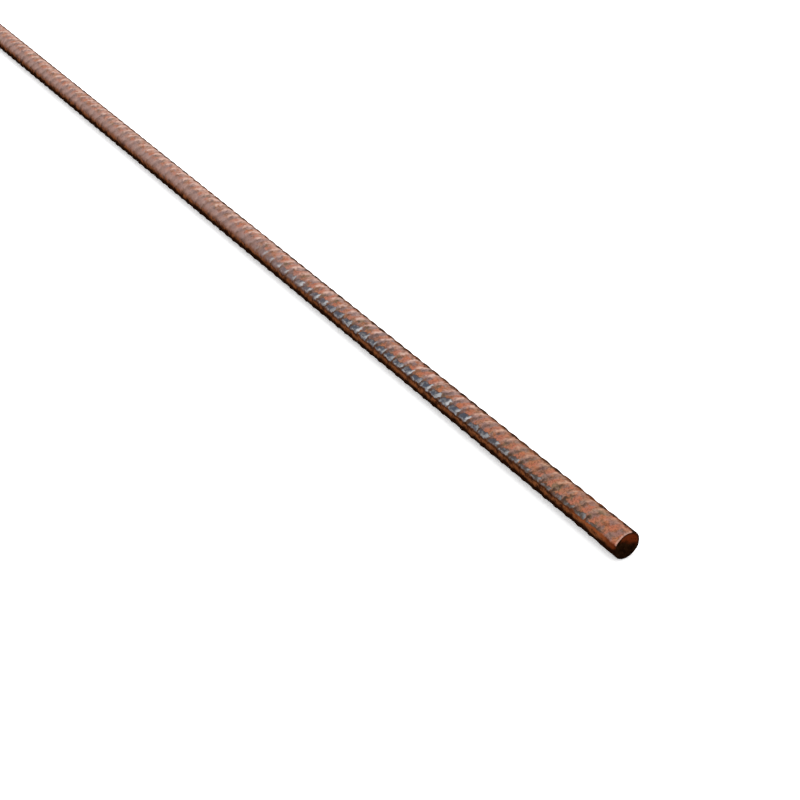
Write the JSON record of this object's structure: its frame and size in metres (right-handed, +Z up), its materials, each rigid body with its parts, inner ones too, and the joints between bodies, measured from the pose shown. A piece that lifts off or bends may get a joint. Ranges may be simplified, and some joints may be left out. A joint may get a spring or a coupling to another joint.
{
  "type": "steel reinforcing bar",
  "caption": "Straight hot-rolled steel bar of round section, with a lengthwise rib along each side and square-cut ends, laid in concrete to reinforce it.",
  "frame": {"origin": "on the floor under the middle of the bar", "axes": "+X along the bar towards the end that is nearest in the picture, +Z up, -Y towards the side of the picture's camera"},
  "size_m": [1.2192, 0.013, 0.0124],
  "materials": {
    "rusty_steel": "hot-rolled and weathered: dusty orange-brown rust over blue-grey mill scale, with dark brown cut ends"
  },
  "bodies": {
    "root": {"rebar": "rusty_steel"}
  },
  "joints": []
}
